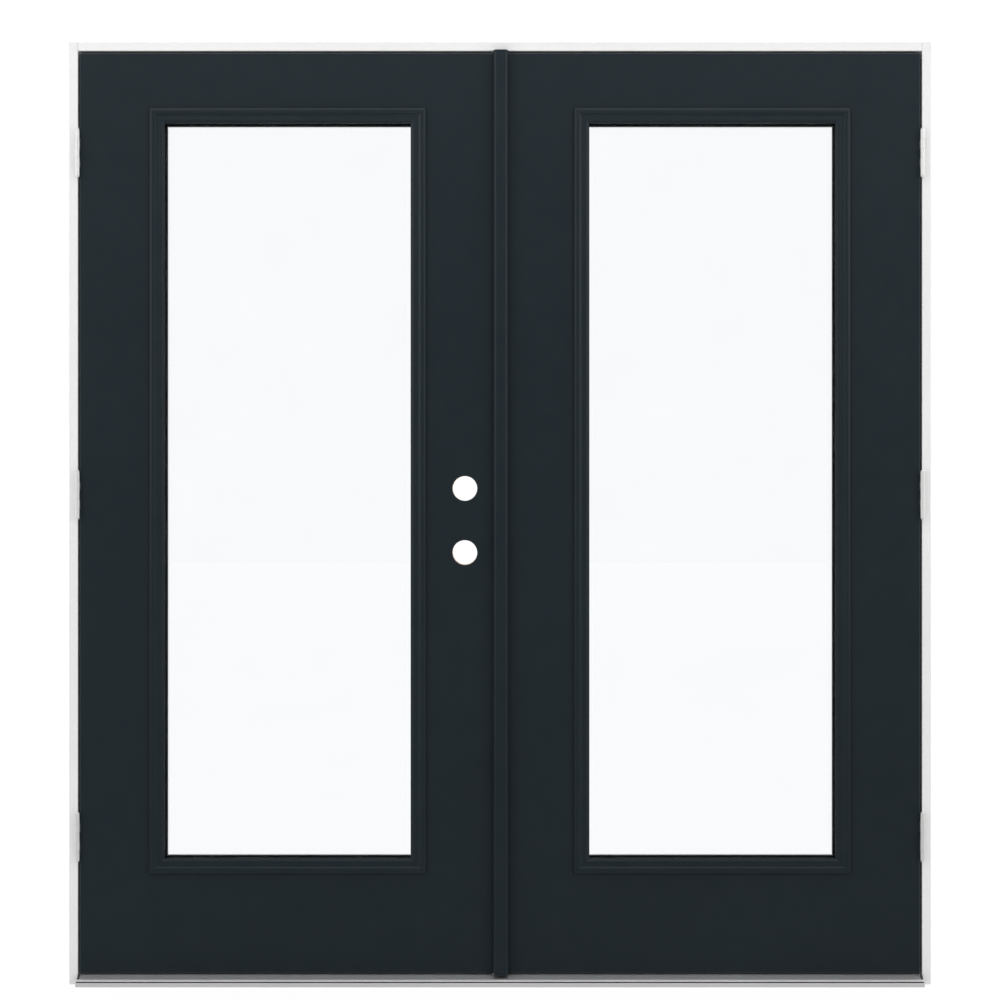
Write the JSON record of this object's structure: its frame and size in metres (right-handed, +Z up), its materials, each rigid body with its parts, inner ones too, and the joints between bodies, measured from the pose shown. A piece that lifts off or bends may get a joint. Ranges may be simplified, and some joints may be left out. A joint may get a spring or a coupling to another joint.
{
  "type": "pair of french doors",
  "caption": "Outswing pair of hinged doors with large glass lites, prehung in a rabbeted frame with an aluminium sill.",
  "frame": {"origin": "on the floor, in the middle of the unit's width and depth", "axes": "+Z up, +Y into the building, +X to the right seen from outside"},
  "size_m": [1.873, 0.143, 2.048],
  "materials": {
    "slate_paint": "smooth low-sheen factory paint on a moulded skin",
    "slate_moulding": "low-sheen painted moulding",
    "primed_white": "white primer on finger-jointed wood",
    "mill_aluminium": "mill finish extrusion",
    "sill_stop_grey": "matt grey composite",
    "composite_rail": "grained composite",
    "stile_wood": "raw laminated softwood",
    "foam": "cream rigid foam",
    "clear_glass": "clear low-iron float glass",
    "spacer": "black warm-edge spacer",
    "dark_vinyl": "flexible vinyl",
    "weatherstrip_foam": "foam bulb in a smooth skin",
    "satin_nickel": "satin nickel plate",
    "screw_steel": "zinc plated steel"
  },
  "bodies": {
    "frame": {"head_jamb": "primed_white", "head_strike_plate": "satin_nickel", "left_jamb": "primed_white", "right_jamb": "primed_white", "sill_base": "composite_rail", "sill_deck": "mill_aluminium", "sill_stop": "sill_stop_grey", "head_weatherstrip": "weatherstrip_foam", "left_weatherstrip": "weatherstrip_foam", "right_weatherstrip": "weatherstrip_foam", "sill_weatherstrip": "weatherstrip_foam", "left_hinge_pins": "satin_nickel", "right_hinge_pins": "satin_nickel", "frame_hinge_screws": "screw_steel", "left_frame_hinge_leaf_bottom": "satin_nickel", "left_frame_hinge_leaf_middle": "satin_nickel", "left_frame_hinge_leaf_top": "satin_nickel", "right_frame_hinge_leaf_bottom": "satin_nickel", "right_frame_hinge_leaf_middle": "satin_nickel", "right_frame_hinge_leaf_top": "satin_nickel"},
    "active_leaf": {"active_exterior_skin": "slate_paint", "active_interior_skin": "slate_paint", "active_hinge_stile": "stile_wood", "active_lock_stile": "stile_wood", "active_top_rail": "composite_rail", "active_bottom_rail": "composite_rail", "active_foam_core": "foam", "active_outer_lite_frame": "slate_moulding", "active_inner_lite_frame": "slate_moulding", "active_outer_pane": "clear_glass", "active_inner_pane": "clear_glass", "active_glass_spacer": "spacer", "active_sweep": "dark_vinyl", "active_hinge_leaf_bottom": "satin_nickel", "active_hinge_leaf_middle": "satin_nickel", "active_hinge_leaf_top": "satin_nickel", "active_hinge_screws": "screw_steel", "active_lock_block": "stile_wood"},
    "passive_leaf": {"passive_exterior_skin": "slate_paint", "passive_interior_skin": "slate_paint", "passive_hinge_stile": "stile_wood", "passive_lock_stile": "stile_wood", "passive_top_rail": "composite_rail", "passive_bottom_rail": "composite_rail", "passive_foam_core": "foam", "passive_outer_lite_frame": "slate_moulding", "passive_inner_lite_frame": "slate_moulding", "passive_outer_pane": "clear_glass", "passive_inner_pane": "clear_glass", "passive_glass_spacer": "spacer", "passive_sweep": "dark_vinyl", "passive_hinge_leaf_bottom": "satin_nickel", "passive_hinge_leaf_middle": "satin_nickel", "passive_hinge_leaf_top": "satin_nickel", "passive_hinge_screws": "screw_steel", "astragal": "slate_moulding", "astragal_seal": "dark_vinyl", "astragal_screws": "screw_steel"},
    "top_flush_bolt": {"top_bolt": "screw_steel"},
    "bottom_flush_bolt": {"bottom_bolt": "screw_steel"}
  },
  "joints": [
    {"name": "active_leaf_hinge", "type": "hinge", "parent": "frame", "child": "active_leaf", "pos_m": [-0.9173, -0.0515, 1.0645], "axis": [0, 0, -1], "range_deg": [0, 170]},
    {"name": "passive_leaf_hinge", "type": "hinge", "parent": "frame", "child": "passive_leaf", "pos_m": [0.9173, -0.0515, 1.0645], "axis": [0, 0, 1], "range_deg": [0, 170]},
    {"name": "top_bolt_slide", "type": "slide", "parent": "passive_leaf", "child": "top_flush_bolt", "axis": [0, 0, 1], "range_m": [0, 0.018]},
    {"name": "bottom_bolt_slide", "type": "slide", "parent": "passive_leaf", "child": "bottom_flush_bolt", "axis": [0, 0, -1], "range_m": [0, 0.018]}
  ]
}
